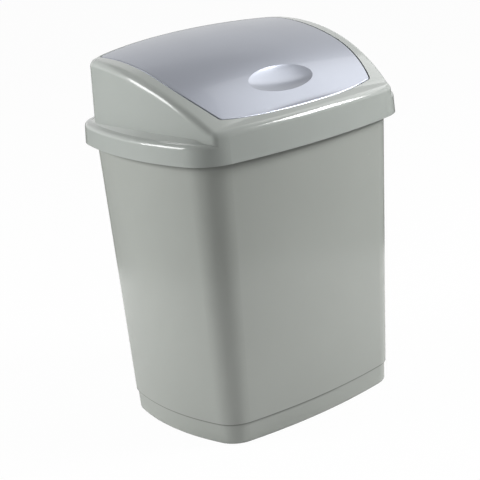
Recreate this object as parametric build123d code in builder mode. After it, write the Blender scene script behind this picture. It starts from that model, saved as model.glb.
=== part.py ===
from build123d import *
import math
import os

# A free-standing kitchen bin of about 25 litres with a push-down swing flap.
# Millimetres. X runs across the width, the front is at -Y and Z is up.
# The origin lies on the floor, under the middle of the bin.

# Bin body: two plan outlines with all four sides bowed, joined by straight drafted walls
base_width = 295.6
base_depth = 222.1
base_front_bow = 15.9
base_side_bow = 23.2
base_corner = 35.0
rim_width = 325.8
rim_depth = 251.7
rim_front_bow = 21.5
rim_side_bow = 29.8
rim_corner = 46.4
rim_height = 356.0
body_wall = 2.2
base_band_height = 26.0
base_band_inset = 1.8
base_band_draft = 1.2
base_edge_round = 3.0
standing_ring_width = 9.0
standing_ring_height = 4.0
floor_thickness = 3.0
rim_flange_reach = 6.5
rim_flange_thickness = 2.3
rim_lip_drop = 8.0

# Hood skirt, which hangs outside the rim, and the ledge at its top
skirt_overlap = 10.0
skirt_bottom = rim_height - skirt_overlap
skirt_side_reach = 10.6
skirt_front_reach = 10.4
skirt_width = rim_width + 2 * skirt_side_reach
skirt_depth = rim_depth + 2 * skirt_front_reach
skirt_front_bow_growth = 0.3
skirt_side_bow_loss = 0.8
skirt_front_bow = rim_front_bow + skirt_front_bow_growth
skirt_side_bow = rim_side_bow - skirt_side_bow_loss
skirt_corner_growth = 3.6
skirt_corner = rim_corner + skirt_corner_growth
skirt_draft = 3.0
band_height = 23.0
band_top = skirt_bottom + band_height
band_top_round = 4.5
ledge_reach = 8.5
ledge_rise = 1.5
ledge_foot_reach = 7.0
ledge_foot_rise = 5.0
hood_wall = 2.2
seat_rib_inset = 7.8
seat_rib_width = 2.0
seat_clearance = 0.3

# Cheeks: the set-in side and back walls of the hood, which meet the skirt's front corners
side_ledge_width = 15.4
rear_ledge_width = 17.0
cheek_half_width = skirt_width / 2 - side_ledge_width
cheek_widest_place = 12.9
cheek_side_radius = 453.0
cheek_rear = skirt_depth / 2 - rear_ledge_width
cheek_rear_bow = 31.5
cheek_rear_corner = 16.0
cheek_draft = 1.5
cheek_crease_round = 12.0
cheek_top_round = 9.0

# Crowned top: a long arc from front to back, crowned a little from side to side
crown_rise = 97.0
crown_height = rim_height + crown_rise
crown_place = 71.0
crown_radius = 299.0
cross_crown_radius = 1564.0
shoulder_fall = 17.0
shoulder_blend = 30.0

# Opening and flap
flap_gap = 1.2
front_strip = 17.8
side_strip = 22.6
rear_strip = 11.8
flap_front = front_strip - skirt_depth / 2
flap_front_bow = 20.0
flap_side_half_width = cheek_half_width - side_strip
flap_side_place = -24.3
flap_side_radius = 170.0
flap_rear = cheek_rear - rear_strip
flap_rear_bow = 22.5
flap_front_corner = 5.0
flap_rear_corner = 10.0
least_round = 0.6
flap_wall = 2.2
flap_flange_depth = 8.0
flap_edge_round = 1.6
opening_lip_width = 2.2
opening_lip_depth = 10.6
stop_ledge_width = 7.0
stop_ledge_thickness = 2.3
stop_ledge_start = 42.0
stop_clearance = 0.3
shoulder_setback = 6.0
shoulder_start = flap_front + shoulder_setback

# Push dish near the front edge of the flap
dish_length = 98.0
dish_width = 47.0
dish_depth = 6.5
dish_place = -78.0

# Pivot of the flap
pivot_place = -3.0
pivot_drop = 37.7
pivot_height = crown_height - pivot_drop
pin_radius = 4.0
pin_fit = 0.05
pin_head_radius = 6.5
pin_head_thickness = 2.5
pin_end = 3.0
pin_chamfer = 0.8
ear_thickness = 4.0
ear_half_width = 11.0
bracket_thickness = 4.0
bracket_half_width = 14.0

# Space well above and below everything, for cutting solids
room_below = 56.0
room_above = 27.0
clear_below = rim_height - room_below
clear_above = crown_height + room_above
clear_across = 400.0
upward = 0.5
cross_crown_sweep = 8.0

os.makedirs("parts", exist_ok=True)


def bowed_outline(width, depth, front_bow, side_bow, corner, inset=0.0):
    """A plan outline with four bowed sides and rounded corners, set in by inset"""
    half_width = width / 2
    half_depth = depth / 2
    front_radius = (half_width**2 + front_bow**2) / (2 * front_bow)
    side_radius = (half_depth**2 + side_bow**2) / (2 * side_bow)
    with BuildSketch() as outline:
        with Locations((0, front_radius - half_depth)):
            Circle(front_radius - inset)
        with Locations((0, half_depth - front_radius)):
            Circle(front_radius - inset, mode=Mode.INTERSECT)
        with Locations((half_width - side_radius, 0)):
            Circle(side_radius - inset, mode=Mode.INTERSECT)
        with Locations((side_radius - half_width, 0)):
            Circle(side_radius - inset, mode=Mode.INTERSECT)
        fillet(outline.vertices(), corner - inset)
    return outline.sketch


def base_outline(inset=0.0):
    """The body's plan just above the base band"""
    return bowed_outline(base_width, base_depth, base_front_bow, base_side_bow, base_corner, inset)


def rim_outline(inset=0.0):
    """The body's plan at its rim"""
    return bowed_outline(rim_width, rim_depth, rim_front_bow, rim_side_bow, rim_corner, inset)


def skirt_outline(inset=0.0):
    """The hood's plan at the bottom of its skirt"""
    return bowed_outline(skirt_width, skirt_depth, skirt_front_bow, skirt_side_bow, skirt_corner, inset)


def draft_inset(height, draft):
    """How far a drafted wall leans in over a height"""
    return height * math.tan(math.radians(draft))


def upper_outline(height, skin):
    """The plan of the hood above its ledge: cheeks and back set in, front flush with the skirt"""
    rear_radius = (cheek_half_width**2 + cheek_rear_bow**2) / (2 * cheek_rear_bow)
    side_centre = cheek_half_width - cheek_side_radius
    inset = skin + draft_inset(height - skirt_bottom, cheek_draft)
    with BuildSketch() as outline:
        with Locations((0, cheek_rear - rear_radius)):
            Circle(rear_radius - inset)
        with Locations((side_centre, cheek_widest_place)):
            Circle(cheek_side_radius - inset, mode=Mode.INTERSECT)
        with Locations((-side_centre, cheek_widest_place)):
            Circle(cheek_side_radius - inset, mode=Mode.INTERSECT)
        add(skirt_outline(skin + draft_inset(height - skirt_bottom, skirt_draft)), mode=Mode.INTERSECT)
        fillet(outline.vertices().group_by(Axis.Y)[-1], cheek_rear_corner - inset)
        front = outline.vertices().filter_by(lambda vertex: vertex.Y < flap_side_place).sort_by(Axis.X)
        fillet([front[0], front[-1]], cheek_crease_round - inset)
    return outline.sketch


def flap_outline(grow=0.0):
    """The flap's plan, grown by the given width on every side"""
    front_radius = (flap_side_half_width**2 + flap_front_bow**2) / (2 * flap_front_bow)
    rear_radius = (flap_side_half_width**2 + flap_rear_bow**2) / (2 * flap_rear_bow)
    side_centre = flap_side_half_width - flap_side_radius
    with BuildSketch() as outline:
        with Locations((side_centre, flap_side_place)):
            Circle(flap_side_radius + grow)
        with Locations((-side_centre, flap_side_place)):
            Circle(flap_side_radius + grow, mode=Mode.INTERSECT)
        with Locations((0, flap_side_place + clear_across / 2)):
            Rectangle(2 * (flap_side_half_width + grow), clear_across)
        with Locations((0, flap_front + front_radius)):
            Circle(front_radius + grow, mode=Mode.INTERSECT)
        with Locations((0, flap_rear - rear_radius)):
            Circle(rear_radius + grow, mode=Mode.INTERSECT)
        fillet(outline.vertices().group_by(Axis.Y)[0], max(flap_front_corner + grow, least_round))
        fillet(outline.vertices().group_by(Axis.Y)[-1], flap_rear_corner + grow)
    return outline.sketch


def crown_at(place, depth=0.0):
    """Height of the long arc at a place along Y, measured in the middle plane"""
    radius = crown_radius - depth
    return crown_height - crown_radius + math.sqrt(radius**2 - (place - crown_place) ** 2)


def under_crown(depth=0.0):
    """All the space below the crowned top, starting at a depth under it"""
    front_end = -skirt_depth / 2 - skirt_corner
    rear_end = skirt_depth / 2 + skirt_corner / 2
    join = (shoulder_start, crown_at(shoulder_start, depth))
    fall = math.tan(math.radians(shoulder_fall)) * (shoulder_start - front_end)
    with BuildPart() as space:
        turn_axis = Axis((0, 0, crown_height - cross_crown_radius), (0, 1, 0))
        for side in (1, -1):
            with BuildSketch(Plane.YZ) as profile:
                with BuildLine():
                    ThreePointArc(
                        join,
                        (0, crown_at(0, depth)),
                        (rear_end, crown_at(rear_end, depth)),
                    )
                    Line((rear_end, crown_at(rear_end, depth)), (rear_end, clear_below))
                    Line((rear_end, clear_below), (front_end, clear_below))
                    Line((front_end, clear_below), (front_end, join[1] - fall))
                    Line((front_end, join[1] - fall), join)
                make_face()
                bend = profile.vertices().sort_by_distance((*join, 0))[0]
                fillet(bend, shoulder_blend + depth)
            revolve(axis=turn_axis, revolution_arc=side * cross_crown_sweep)
    return space.part


def tall_block(sketch, low=clear_below, high=clear_above):
    """A plan outline raised between two heights"""
    with BuildPart() as block:
        with BuildSketch(Plane.XY.offset(low)):
            add(sketch)
        extrude(amount=high - low)
    return block.part


def drafted_block(low_sketch, low, high_sketch, high):
    """A solid with straight walls from one plan outline to another above it"""
    with BuildPart() as block:
        with BuildSketch(Plane.XY.offset(low)):
            add(low_sketch)
        with BuildSketch(Plane.XY.offset(high)):
            add(high_sketch)
        loft(ruled=True)
    return block.part


def upper_block(skin):
    """The hood above its ledge as a tall block"""
    low = upper_outline(skirt_bottom, skin)
    return drafted_block(low, skirt_bottom, upper_outline(clear_above, skin), clear_above)


def skirt_block(skin):
    """The hood's skirt with the ledge that slopes in above it"""
    top = band_top - skin
    top_inset = skin + draft_inset(top - skirt_bottom, skirt_draft)
    straight = drafted_block(skirt_outline(skin), skirt_bottom, skirt_outline(top_inset), top)
    foot_inset = top_inset + ledge_reach
    foot = skirt_outline(foot_inset)
    foot_top = skirt_outline(foot_inset + ledge_foot_reach)
    foot_height = top + ledge_rise
    with BuildPart() as block:
        add(straight)
        add(drafted_block(skirt_outline(top_inset), top, foot, foot_height))
        add(drafted_block(foot, foot_height, foot_top, foot_height + ledge_foot_rise))
    return block.part


def edges_round_top(part):
    """The edges that go round the upward faces of a solid, without those between two such faces"""
    tops = part.faces().filter_by(lambda face: face.normal_at(face.center()).Z > upward)
    edges = [edge for face in tops for edge in face.edges()]
    return [edge for edge in edges if sum(other.is_same(edge) for other in edges) == 1]


def hood_form(skin):
    """The hood as a filled form, with every face and rounding set in by skin"""
    with BuildPart() as upper:
        add(upper_block(skin))
        add(under_crown(skin), mode=Mode.INTERSECT)
        fillet(edges_round_top(upper.part), cheek_top_round - skin)
    with BuildPart() as form:
        add(skirt_block(skin))
        band_edge = form.edges().filter_by_position(Axis.Z, band_top - skin, band_top - skin)
        fillet(band_edge, band_top_round - skin)
        add(upper.part)
    return form.part


def body_form(skin, low_end=0.0):
    """The bin body as a filled form, with every wall set in by skin"""
    low = base_outline(base_band_inset + base_band_draft + skin)
    step = base_outline(base_band_inset + skin)
    with BuildPart() as form:
        add(drafted_block(low, low_end, step, base_band_height + skin))
        add(drafted_block(base_outline(skin), base_band_height + skin, rim_outline(skin), rim_height))
    return form.part


# Bin body: a drafted shell with a step near the floor, a standing ring and a rolled rim
floor_top = standing_ring_height + floor_thickness
body_outside = body_form(0.0)
body_inside = body_form(body_wall, floor_top)
lip_bottom = rim_height - rim_flange_thickness - rim_lip_drop

with BuildPart() as bin_body:
    add(body_outside)
    with BuildSketch(Plane.XY.offset(rim_height)):
        add(rim_outline(-rim_flange_reach))
    extrude(amount=-rim_flange_thickness)
    with BuildSketch(Plane.XY.offset(lip_bottom)):
        add(rim_outline(-rim_flange_reach))
        add(rim_outline(rim_flange_thickness - rim_flange_reach), mode=Mode.SUBTRACT)
    extrude(amount=rim_lip_drop)
    add(body_inside, mode=Mode.SUBTRACT)
    with BuildSketch(Plane.XY):
        add(base_outline(base_band_inset + base_band_draft + standing_ring_width))
    extrude(amount=standing_ring_height, mode=Mode.SUBTRACT)
    fillet(bin_body.faces().sort_by(Axis.Z)[0].outer_wire().edges(), base_edge_round)
bin_body.part.label = "bin_body"
export_step(bin_body.part, "parts/bin_body.step")

# Hood: a shell with an opening lip, a stop ledge for the flap and two pivot brackets
hood_outside = hood_form(0.0)
hood_inside = hood_form(hood_wall)
bracket_inside = flap_side_half_width + flap_gap
pin_end_place = bracket_inside + bracket_thickness + pin_end

with BuildPart() as opening_lip:
    add(tall_block(flap_outline(flap_gap + opening_lip_width)))
    add(under_crown(0.0), mode=Mode.INTERSECT)
    add(under_crown(opening_lip_depth), mode=Mode.SUBTRACT)

with BuildPart() as stop_ledge:
    add(tall_block(flap_outline(flap_gap + opening_lip_width / 2)))
    add(tall_block(flap_outline(flap_gap - stop_ledge_width)), mode=Mode.SUBTRACT)
    add(under_crown(flap_flange_depth + stop_clearance), mode=Mode.INTERSECT)
    add(under_crown(flap_flange_depth + stop_clearance + stop_ledge_thickness), mode=Mode.SUBTRACT)
    split(bisect_by=Plane.XZ.offset(-stop_ledge_start), keep=Keep.BOTTOM)

with BuildPart() as brackets:
    for side in (1, -1):
        with BuildSketch(Plane.YZ.offset(side * bracket_inside)):
            with Locations((pivot_place, pivot_height)):
                Circle(bracket_half_width)
            with Locations((pivot_place, pivot_height + bracket_half_width)):
                Rectangle(2 * bracket_half_width, 2 * bracket_half_width)
        extrude(amount=side * bracket_thickness)
    add(under_crown(hood_wall / 2), mode=Mode.INTERSECT)

with BuildPart() as hood:
    add(hood_outside)
    add(hood_inside, mode=Mode.SUBTRACT)
    with BuildSketch(Plane.XY.offset(rim_height + seat_clearance)):
        add(skirt_outline(seat_rib_inset))
        add(skirt_outline(seat_rib_inset + seat_rib_width), mode=Mode.SUBTRACT)
    extrude(amount=band_top - hood_wall / 2 - rim_height - seat_clearance)
    add(opening_lip.part)
    add(tall_block(flap_outline(flap_gap)), mode=Mode.SUBTRACT)
    add(stop_ledge.part)
    add(brackets.part)
    with BuildSketch(Plane.YZ.offset(-pin_end_place)):
        with Locations((pivot_place, pivot_height)):
            Circle(pin_radius + pin_fit)
    extrude(amount=2 * pin_end_place, mode=Mode.SUBTRACT)
hood.part.label = "hood"
export_step(hood.part, "parts/hood.step")

# Flap: a crowned panel with a turned-down edge, a push dish and two pivot ears
flap_slope = math.asin((dish_place - crown_place) / crown_radius)
dish_drop = (dish_width / 2) ** 2 / (2 * crown_radius)
dish_spot = (0, dish_place, crown_at(dish_place))
dish_radius = (dish_width**2 / 4 + (dish_depth - dish_drop) ** 2) / (2 * (dish_depth - dish_drop))
dish_stretch = dish_length / dish_width


def dish_ball(skin):
    """The stretched ball that presses the dish into the flap, grown by skin"""
    with BuildPart() as ball:
        Sphere(dish_radius + skin)
        scale(by=(dish_stretch, 1, 1))
    lift = dish_radius - dish_depth + dish_drop
    placing = Location(dish_spot, (math.degrees(-flap_slope), 0, 0)) * Location((0, 0, lift))
    return placing * ball.part


with BuildPart() as flap_hollow:
    add(tall_block(flap_outline(-flap_wall)))
    add(under_crown(flap_wall), mode=Mode.INTERSECT)
    add(dish_ball(flap_wall), mode=Mode.SUBTRACT)

ear_inside = flap_side_half_width - ear_thickness
with BuildPart() as ears:
    for side in (1, -1):
        with BuildSketch(Plane.YZ.offset(side * ear_inside)):
            with Locations((pivot_place, pivot_height)):
                Circle(ear_half_width)
            with Locations((pivot_place, pivot_height + ear_half_width)):
                Rectangle(2 * ear_half_width, 2 * ear_half_width)
        extrude(amount=side * ear_thickness)
    add(under_crown(flap_wall / 2), mode=Mode.INTERSECT)
    with BuildSketch(Plane.YZ.offset(-flap_side_half_width)):
        with Locations((pivot_place, pivot_height)):
            Circle(pin_radius + pin_fit)
    extrude(amount=2 * flap_side_half_width, mode=Mode.SUBTRACT)

with BuildPart() as swing_flap:
    add(tall_block(flap_outline()))
    add(under_crown(0.0), mode=Mode.INTERSECT)
    fillet(edges_round_top(swing_flap.part), flap_edge_round)
    add(under_crown(flap_flange_depth), mode=Mode.SUBTRACT)
    add(dish_ball(0.0), mode=Mode.SUBTRACT)
    add(flap_hollow.part, mode=Mode.SUBTRACT)
    add(ears.part)
swing_flap.part.label = "swing_flap"
export_step(swing_flap.part, "parts/swing_flap.step")

# Pivot pins, pushed from inside the flap through its ears into the hood's brackets
pin_reach = ear_thickness + flap_gap + bracket_thickness + pin_end
for side, name in ((-1, "pivot_pin_left"), (1, "pivot_pin_right")):
    with BuildPart() as pin:
        with BuildSketch(Plane.YZ.offset(side * ear_inside)):
            with Locations((pivot_place, pivot_height)):
                Circle(pin_head_radius)
        extrude(amount=-side * pin_head_thickness)
        with BuildSketch(Plane.YZ.offset(side * ear_inside)):
            with Locations((pivot_place, pivot_height)):
                Circle(pin_radius)
        extrude(amount=side * pin_reach)
        far_face = pin.faces().sort_by(Axis.X)[-1 if side > 0 else 0]
        chamfer(far_face.edges(), pin_chamfer)
    pin.part.label = name
    export_step(pin.part, "parts/" + name + ".step")
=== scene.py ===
"""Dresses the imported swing-lid bin: moulded grey plastic, a silver flap and a white studio."""

import math

import bpy
from mathutils import Matrix, Vector

bl_info = {
    "name": "Swing-lid bin",
    "version": (1, 0, 0),
    "blender": (4, 5, 0),
    "location": "3D View > Sidebar > Bin",
    "description": "Moulded plastics, studio and camera for a swing-lid kitchen bin",
    "category": "Object",
}

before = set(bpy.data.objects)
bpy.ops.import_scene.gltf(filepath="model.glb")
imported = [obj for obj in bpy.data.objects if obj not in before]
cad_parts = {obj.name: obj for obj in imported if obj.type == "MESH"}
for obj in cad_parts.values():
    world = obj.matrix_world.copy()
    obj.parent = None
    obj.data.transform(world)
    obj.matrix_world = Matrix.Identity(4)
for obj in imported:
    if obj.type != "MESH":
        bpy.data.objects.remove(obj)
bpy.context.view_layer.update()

# Camera as fitted to the photograph: place in metres, turns in degrees, focal length in pixels
CAMERA_PLACE = (-1.14628, -1.38188, 0.78031)
CAMERA_AZIMUTH = -39.25
CAMERA_ELEVATION = 17.84
CAMERA_ROLL = -4.88
FOCAL_PIXELS = 1539.11
FRAME_PIXELS = 480
SENSOR_WIDTH = 36.0

# Dark side of the studio, behind the camera: its direction, its edges in degrees away from that,
# and how much of the mirrored and of the cast light it takes away
ROOM_SIDE = (-0.62, -0.75, 0.22)
ROOM_SIDE_EDGES = (85, 55)
ROOM_SIDE_MIRRORED = 0.8
ROOM_SIDE_CAST = 0.95

# Elevations in degrees between which the backdrop turns into the ceiling
CEILING_EDGES = (35, 42)

# Floor: side in metres, paint, share of white that the camera sees, and the dark past the table
FLOOR_SIDE = 30.0
FLOOR_PAINT = 0.82
FLOOR_GLOW = 0.97
TABLE_FADE = 0.1
PAST_TABLE = 0.05
WHITE = (1.0, 1.0, 1.0, 1.0)

# Lamps: name, place and side in metres, whether gloss mirrors it, and the setting for its power
LAMP_AIM = (0.0, 0.0, 0.3)
LAMPS = (
    ("key_lamp", (1.25, -0.1, 1.58), 1.05, True, "key_power"),
    ("left_lamp", (-1.66, 0.84, 1.04), 0.9, True, "left_power"),
    ("back_lamp", (-1.6, 1.3, 0.6), 1.2, False, "back_power"),
    ("right_lamp", (1.3, -1.25, 1.3), 0.8, True, "right_power"),
)

# Moulded plastic: lumps to the metre of each pattern, the range it is stretched from, and its part
FLOW_LUMPS = 9.0
FLOW_RANGE = (0.3, 0.7)
FLOW_SHARE = 0.7
FLOW_RELIEF = 0.6
SPECK_LUMPS = 900.0
SPECK_DULLING = 0.01
HANDLING_LUMPS = 22.0
HANDLING_RANGE = (0.45, 0.8)
HANDLING_DULLING = 0.008
GRAIN_LUMPS = 420.0
GRAIN_STRENGTH = 0.2
TONE_SPREAD = 0.015
PLASTIC_IOR = 1.5
COAT_ROUGHNESS = 0.08
PIN_SHADE = 0.8
PIN_ROUGHNESS = 0.4
PIN_GLOSS = 0.0

# Silver plastic: flakes and lumps to the metre, stretched ranges, and the part each one plays
FLAKES = 2600.0
FLAKE_METAL = 0.06
FLAKE_STRENGTH = 0.06
DRIFT_LUMPS = 7.0
DRIFT_RANGE = (0.3, 0.7)
DRIFT_SHARE = 0.6
DRIFT_RELIEF = 0.5
SCUFF_LUMPS = 26.0
SCUFF_RANGE = (0.4, 0.85)
SCUFF_DULLING = 0.02
SILVER_SPREAD = 0.05
SILVER_METAL = 0.72
SILVER_ROUGHNESS = 0.3
SILVER_COAT = 0.35
SILVER_COAT_ROUGHNESS = 0.06

# Painted shade: dark bands round the bucket, where shade falls under the step near the floor and under
# the hood's skirt: where each begins and ends in metres, and its depth. Then the fade above a band and
# the share of colour left
BUCKET_PAINTED_SHADE = (
    (0.0232, 0.0262, 0.85),
    (0.336, 0.347, 0.9),
)
PAINTED_SHADE_FADE = 0.0006
PAINTED_SHADE_SHARE = 0.25


class Socket:
    """A shader value that can be used in Python expressions"""

    def __init__(self, shader, value):
        self.shader = shader
        self.value = value

    def maths(self, operation, other, swapped=False):
        """One Math node on this value and another"""
        node = self.shader.nodes.new("ShaderNodeMath")
        node.operation = operation
        operands = (other, self) if swapped else (self, other)
        for slot, operand in zip(node.inputs, operands):
            self.shader.feed(slot, operand)
        return Socket(self.shader, node.outputs[0])

    def __add__(self, other):
        return self.maths("ADD", other)

    def __radd__(self, other):
        return self.maths("ADD", other)

    def __sub__(self, other):
        return self.maths("SUBTRACT", other)

    def __rsub__(self, other):
        return self.maths("SUBTRACT", other, swapped=True)

    def __mul__(self, other):
        return self.maths("MULTIPLY", other)

    def __rmul__(self, other):
        return self.maths("MULTIPLY", other)

    def step(self, low, high):
        """A smooth rise from 0 at low to 1 at high"""
        return self.shader.node(
            "ShaderNodeMapRange",
            {"interpolation_type": "SMOOTHSTEP", "clamp": True},
            {"Value": self, "From Min": low, "From Max": high},
        )


class Shader:
    """A node tree that makes any node from its type, settings and inputs"""

    def __init__(self, owner):
        owner.use_nodes = True
        self.tree = owner.node_tree
        self.nodes = self.tree.nodes
        self.nodes.clear()

    def feed(self, slot, value):
        """Links a socket or sets a plain value"""
        if isinstance(value, Socket):
            self.tree.links.new(value.value, slot)
        else:
            slot.default_value = value

    def node(self, kind, settings=None, inputs=None, output=0):
        """Adds a node, sets it up and gives one of its outputs"""
        made = self.nodes.new(kind)
        for name, value in (settings or {}).items():
            setattr(made, name, value)
        for name, value in (inputs or {}).items():
            self.feed(made.inputs[name], value)
        return Socket(self, made.outputs[output])

    def mix(self, factor, first, second):
        """A colour between two colours"""
        made = self.nodes.new("ShaderNodeMix")
        made.data_type = "RGBA"
        self.feed(made.inputs["Factor"], factor)
        colours = [slot for slot in made.inputs if slot.type == "RGBA"]
        self.feed(colours[0], first)
        self.feed(colours[1], second)
        return Socket(self, next(slot for slot in made.outputs if slot.type == "RGBA"))

    def place(self):
        """Where a point lies on the piece"""
        return self.node("ShaderNodeTexCoord", output="Object")

    def noise(self, lumps, detail):
        """Grey noise of a scale given in lumps to the metre"""
        return self.node(
            "ShaderNodeTexNoise",
            inputs={"Vector": self.place(), "Scale": lumps, "Detail": detail},
        )

    def upright(self, vector):
        """The Z of a vector"""
        return self.node("ShaderNodeSeparateXYZ", inputs={"Vector": vector}, output="Z")

    def finish(self, surface, output="ShaderNodeOutputMaterial"):
        """Feeds the tree's output"""
        self.feed(self.nodes.new(output).inputs["Surface"], surface)


def shaded(colour, share):
    """A colour made darker or lighter by a share"""
    return (*(channel * share for channel in colour[:3]), 1.0)


def grey(level):
    """A grey of a level"""
    return (level, level, level, 1.0)


class BinLook(bpy.types.PropertyGroup):
    """Colours and finish of the bin's plastics"""

    body_colour: bpy.props.FloatVectorProperty(
        name="Body colour",
        description="Colour of the bucket's grey plastic",
        subtype="COLOR",
        default=(0.36, 0.378, 0.352),
    )
    body_roughness: bpy.props.FloatProperty(
        name="Body roughness",
        description="Roughness of the bucket's plastic",
        subtype="FACTOR",
        default=0.26,
    )
    body_gloss: bpy.props.FloatProperty(
        name="Body gloss",
        description="Weight of the gloss over the bucket's plastic",
        subtype="FACTOR",
        default=0.25,
    )
    hood_colour: bpy.props.FloatVectorProperty(
        name="Hood colour",
        description="Colour of the hood's grey plastic",
        subtype="COLOR",
        default=(0.385, 0.41, 0.388),
    )
    hood_roughness: bpy.props.FloatProperty(
        name="Hood roughness",
        description="Roughness of the hood's plastic",
        subtype="FACTOR",
        default=0.18,
    )
    hood_gloss: bpy.props.FloatProperty(
        name="Hood gloss",
        description="Weight of the gloss over the hood's plastic",
        subtype="FACTOR",
        default=0.7,
    )
    flap_colour: bpy.props.FloatVectorProperty(
        name="Flap colour",
        description="Colour of the flap's silver plastic",
        subtype="COLOR",
        default=(0.381, 0.403, 0.46),
    )
    grain_height: bpy.props.FloatProperty(
        name="Grain height",
        description="Height of the fine unevenness of the moulded skin",
        subtype="DISTANCE",
        default=0.00002,
    )


class StudioLook(bpy.types.PropertyGroup):
    """Levels of the studio's lamps and surroundings"""

    key_power: bpy.props.FloatProperty(
        name="Key lamp",
        description="Power of the large soft lamp high at the right, in watts",
        default=4.9,
    )
    left_power: bpy.props.FloatProperty(
        name="Left lamp",
        description="Power of the lamp at the left that the hood mirrors, in watts",
        default=20.0,
    )
    back_power: bpy.props.FloatProperty(
        name="Back lamp",
        description="Power of the soft lamp behind at the left, in watts",
        default=22.0,
    )
    right_power: bpy.props.FloatProperty(
        name="Right lamp",
        description="Power of the lamp at the front right that the hood mirrors, in watts",
        default=40.0,
    )
    surround: bpy.props.FloatProperty(
        name="Surround",
        description="Level of the light from the white surroundings",
        default=0.28,
    )
    backdrop_level: bpy.props.FloatProperty(
        name="Backdrop",
        description="Level of the backdrop as it is mirrored in gloss",
        default=0.85,
    )
    ceiling_level: bpy.props.FloatProperty(
        name="Ceiling",
        description="Level of the ceiling as it is mirrored in gloss",
        default=0.5,
    )
    table_reach: bpy.props.FloatProperty(
        name="Table reach",
        description="How far the white table reaches from the bin",
        subtype="DISTANCE",
        default=0.55,
    )


def moulded_plastic(name, colour, roughness, gloss, grain, painted_shades=()):
    """Injection-moulded plastic: a faint flow pattern, fine unevenness, and painted shade as dark
    bands at heights
    """
    material = bpy.data.materials.new(name)
    shader = Shader(material)
    flow = shader.noise(FLOW_LUMPS, detail=2.0)
    specks = shader.noise(SPECK_LUMPS, detail=2.0)
    handling = shader.noise(HANDLING_LUMPS, detail=5.0).step(*HANDLING_RANGE)
    grains = shader.noise(GRAIN_LUMPS, detail=3.0)
    tone = flow.step(*FLOW_RANGE) * FLOW_SHARE + specks * (1.0 - FLOW_SHARE)
    base = shader.mix(tone, shaded(colour, 1.0 - TONE_SPREAD), shaded(colour, 1.0 + TONE_SPREAD))
    # Painted shade: each band darkens the base colour at its heights, where shade falls
    for low, high, depth in painted_shades:
        height = shader.upright(shader.place())
        painted_shade = height.step(low, high) * (1.0 - height.step(high, high + PAINTED_SHADE_FADE))
        base = shader.mix(painted_shade * depth, base, shaded(colour, PAINTED_SHADE_SHARE))
    skin = shader.node(
        "ShaderNodeBump",
        inputs={"Strength": GRAIN_STRENGTH, "Distance": grain, "Height": grains + flow * FLOW_RELIEF},
    )
    surface = shader.node(
        "ShaderNodeBsdfPrincipled",
        inputs={
            "Base Color": base,
            "Roughness": roughness + handling * HANDLING_DULLING + specks * SPECK_DULLING,
            "IOR": PLASTIC_IOR,
            "Coat Weight": gloss,
            "Coat Roughness": COAT_ROUGHNESS,
            "Normal": skin,
        },
    )
    shader.finish(surface)
    return material


def silver_plastic(name, colour, grain):
    """Silver plastic: metal flake held in a clear skin"""
    material = bpy.data.materials.new(name)
    shader = Shader(material)
    cells = shader.node(
        "ShaderNodeTexVoronoi", inputs={"Vector": shader.place(), "Scale": FLAKES}, output="Color"
    )
    flake = shader.node("ShaderNodeRGBToBW", inputs={"Color": cells})
    drift = shader.noise(DRIFT_LUMPS, detail=2.0).step(*DRIFT_RANGE)
    scuffs = shader.noise(SCUFF_LUMPS, detail=4.0).step(*SCUFF_RANGE)
    tone = drift * DRIFT_SHARE + flake * (1.0 - DRIFT_SHARE)
    base = shader.mix(tone, shaded(colour, 1.0 - SILVER_SPREAD), shaded(colour, 1.0 + SILVER_SPREAD))
    skin = shader.node(
        "ShaderNodeBump",
        inputs={"Strength": FLAKE_STRENGTH, "Distance": grain, "Height": flake + drift * DRIFT_RELIEF},
    )
    surface = shader.node(
        "ShaderNodeBsdfPrincipled",
        inputs={
            "Base Color": base,
            "Metallic": SILVER_METAL + flake * FLAKE_METAL,
            "Roughness": SILVER_ROUGHNESS + scuffs * SCUFF_DULLING,
            "Coat Weight": SILVER_COAT,
            "Coat Roughness": SILVER_COAT_ROUGHNESS,
            "Normal": skin,
        },
    )
    shader.finish(surface)
    return material


def dress(node_name, material):
    """Gives a CAD node its material"""
    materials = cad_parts[node_name].data.materials
    materials.clear()
    materials.append(material)


class BIN_OT_body(bpy.types.Operator):
    """Finish the tapered bucket in satin grey plastic, with painted shade under its base step and
    under the hood's skirt
    """

    bl_idname = "bin.body"
    bl_label = "Body"

    def execute(self, context):
        look = context.scene.bin_look
        finish = (look.body_colour, look.body_roughness, look.body_gloss, look.grain_height)
        # Painted shade: dark bands under the base step and under the hood's skirt
        dress("bin_body", moulded_plastic("body_plastic", *finish, BUCKET_PAINTED_SHADE))
        return {"FINISHED"}


class BIN_OT_hood(bpy.types.Operator):
    """Finish the lift-off hood in gloss grey plastic"""

    bl_idname = "bin.hood"
    bl_label = "Hood"

    def execute(self, context):
        look = context.scene.bin_look
        finish = (look.hood_colour, look.hood_roughness, look.hood_gloss, look.grain_height)
        dress("hood", moulded_plastic("hood_plastic", *finish))
        return {"FINISHED"}


class BIN_OT_flap(bpy.types.Operator):
    """Finish the swing flap in silver plastic and its pins in plain grey"""

    bl_idname = "bin.flap"
    bl_label = "Flap"

    def execute(self, context):
        look = context.scene.bin_look
        dress("swing_flap", silver_plastic("flap_plastic", look.flap_colour, look.grain_height))
        finish = (shaded(look.hood_colour, PIN_SHADE), PIN_ROUGHNESS, PIN_GLOSS, look.grain_height)
        pins = moulded_plastic("pin_plastic", *finish)
        for name in ("pivot_pin_left", "pivot_pin_right"):
            dress(name, pins)
        return {"FINISHED"}


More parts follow.
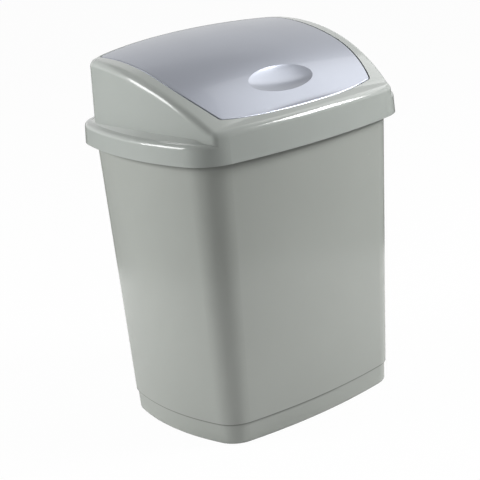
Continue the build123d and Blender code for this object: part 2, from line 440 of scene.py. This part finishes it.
def soft_lamp(name, place, side, mirrored, power):
    """A square area lamp pointed at the bin, mirrored in gloss or only felt as soft light"""
    lamp = bpy.data.lights.new(name, "AREA")
    lamp.shape = "SQUARE"
    lamp.size = side
    lamp.energy = power
    holder = bpy.data.objects.new(name, lamp)
    bpy.context.scene.collection.objects.link(holder)
    holder.location = place
    holder.rotation_euler = (Vector(LAMP_AIM) - Vector(place)).to_track_quat("-Z", "Y").to_euler()
    holder.visible_glossy = mirrored


def ray_kinds(shader):
    """Which rays look: those that see the backdrop itself, and glossy ones"""
    path = shader.nodes.new("ShaderNodeLightPath")
    camera, clear, gloss = (
        Socket(shader, path.outputs[name])
        for name in ("Is Camera Ray", "Is Transmission Ray", "Is Glossy Ray")
    )
    return camera + clear, gloss


def white_surround(world, look):
    """White to the camera, and as light a pale room with a darker ceiling and a dark side"""
    shader = Shader(world)
    seen, gloss = ray_kinds(shader)
    direction = shader.node("ShaderNodeTexCoord", output="Generated")
    towards_room = shader.node(
        "ShaderNodeVectorMath",
        {"operation": "DOT_PRODUCT"},
        {0: direction, 1: Vector(ROOM_SIDE).normalized()},
        output="Value",
    )
    dark_side = towards_room.step(*(math.cos(math.radians(edge)) for edge in ROOM_SIDE_EDGES))
    height = shader.upright(direction)
    ceiling = height.step(*(math.sin(math.radians(edge)) for edge in CEILING_EDGES))
    room = look.backdrop_level + (look.ceiling_level - look.backdrop_level) * ceiling
    mirrored = room * (1.0 - dark_side * ROOM_SIDE_MIRRORED)
    cast = (1.0 - dark_side * ROOM_SIDE_CAST) * look.surround
    strength = seen + gloss * mirrored + (1.0 - seen - gloss) * cast
    background = shader.node("ShaderNodeBackground", inputs={"Color": WHITE, "Strength": strength})
    shader.finish(background, "ShaderNodeOutputWorld")


def floor_material(look):
    """A pale floor, white to the camera under the bin's shadow, and dark in gloss past the table"""
    material = bpy.data.materials.new("studio_floor")
    shader = Shader(material)
    seen, gloss = ray_kinds(shader)
    place = shader.node("ShaderNodeNewGeometry", output="Position")
    distance = shader.node("ShaderNodeVectorMath", {"operation": "LENGTH"}, {0: place}, output="Value")
    beyond = distance.step(look.table_reach, look.table_reach + TABLE_FADE)
    paint = shader.node("ShaderNodeBsdfDiffuse", inputs={"Color": grey(FLOOR_PAINT)})
    glow = shader.node("ShaderNodeEmission", inputs={"Color": WHITE, "Strength": 1.0})
    dark = shader.node("ShaderNodeEmission", inputs={"Color": WHITE, "Strength": PAST_TABLE})
    table = shader.node("ShaderNodeMixShader", inputs={0: seen * FLOOR_GLOW, 1: paint, 2: glow})
    shader.finish(shader.node("ShaderNodeMixShader", inputs={0: gloss * beyond, 1: table, 2: dark}))
    return material


def photo_camera():
    """The camera that matches the photograph"""
    azimuth, elevation, roll = map(math.radians, (CAMERA_AZIMUTH, CAMERA_ELEVATION, CAMERA_ROLL))
    back = Vector((
        math.sin(azimuth) * math.cos(elevation),
        -math.cos(azimuth) * math.cos(elevation),
        math.sin(elevation),
    ))
    right = (-back).cross(Vector((0, 0, 1))).normalized()
    up = right.cross(-back)
    turned_right = right * math.cos(roll) + up * math.sin(roll)
    turned_up = up * math.cos(roll) - right * math.sin(roll)
    data = bpy.data.cameras.new("photo_camera")
    data.sensor_width = SENSOR_WIDTH
    data.lens = FOCAL_PIXELS / FRAME_PIXELS * SENSOR_WIDTH
    camera = bpy.data.objects.new("photo_camera", data)
    bpy.context.scene.collection.objects.link(camera)
    turn = Matrix((turned_right, turned_up, back)).transposed()
    camera.matrix_world = Matrix.Translation(CAMERA_PLACE) @ turn.to_4x4()
    return camera


class BIN_OT_stage(bpy.types.Operator):
    """Make the floor, the surroundings, the lamps and the camera"""

    bl_idname = "bin.stage"
    bl_label = "Stage"

    def execute(self, context):
        scene = context.scene
        look = scene.bin_studio
        bpy.ops.mesh.primitive_plane_add(size=FLOOR_SIDE, location=(0, 0, 0))
        floor = context.object
        floor.name = "studio_floor"
        floor.data.materials.append(floor_material(look))
        scene.world = bpy.data.worlds.new("studio")
        white_surround(scene.world, look)
        for name, place, side, mirrored, power in LAMPS:
            soft_lamp(name, place, side, mirrored, getattr(look, power))
        scene.camera = photo_camera()
        scene.view_settings.view_transform = "Standard"
        return {"FINISHED"}


class BIN_PT_panel(bpy.types.Panel):
    """The bin's steps and settings"""

    bl_idname = "BIN_PT_panel"
    bl_label = "Swing-lid bin"
    bl_space_type = "VIEW_3D"
    bl_region_type = "UI"
    bl_category = "Bin"

    def draw(self, context):
        layout = self.layout
        for operator in OPERATORS:
            layout.operator(operator.bl_idname)
        for group in (context.scene.bin_look, context.scene.bin_studio):
            for name in type(group).__annotations__:
                layout.prop(group, name)


OPERATORS = (BIN_OT_body, BIN_OT_hood, BIN_OT_flap, BIN_OT_stage)
GROUPS = (BinLook, StudioLook)


def register():
    """Registers the settings, the operators and the panel"""
    for kind in (*GROUPS, *OPERATORS, BIN_PT_panel):
        bpy.utils.register_class(kind)
    bpy.types.Scene.bin_look = bpy.props.PointerProperty(type=BinLook)
    bpy.types.Scene.bin_studio = bpy.props.PointerProperty(type=StudioLook)


def unregister():
    """Takes away what register added"""
    del bpy.types.Scene.bin_studio
    del bpy.types.Scene.bin_look
    for kind in reversed((*GROUPS, *OPERATORS, BIN_PT_panel)):
        bpy.utils.unregister_class(kind)


def main():
    """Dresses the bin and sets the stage"""
    register()
    bpy.ops.bin.body()
    bpy.ops.bin.hood()
    bpy.ops.bin.flap()
    bpy.ops.bin.stage()


if __name__ == "__main__":
    main()
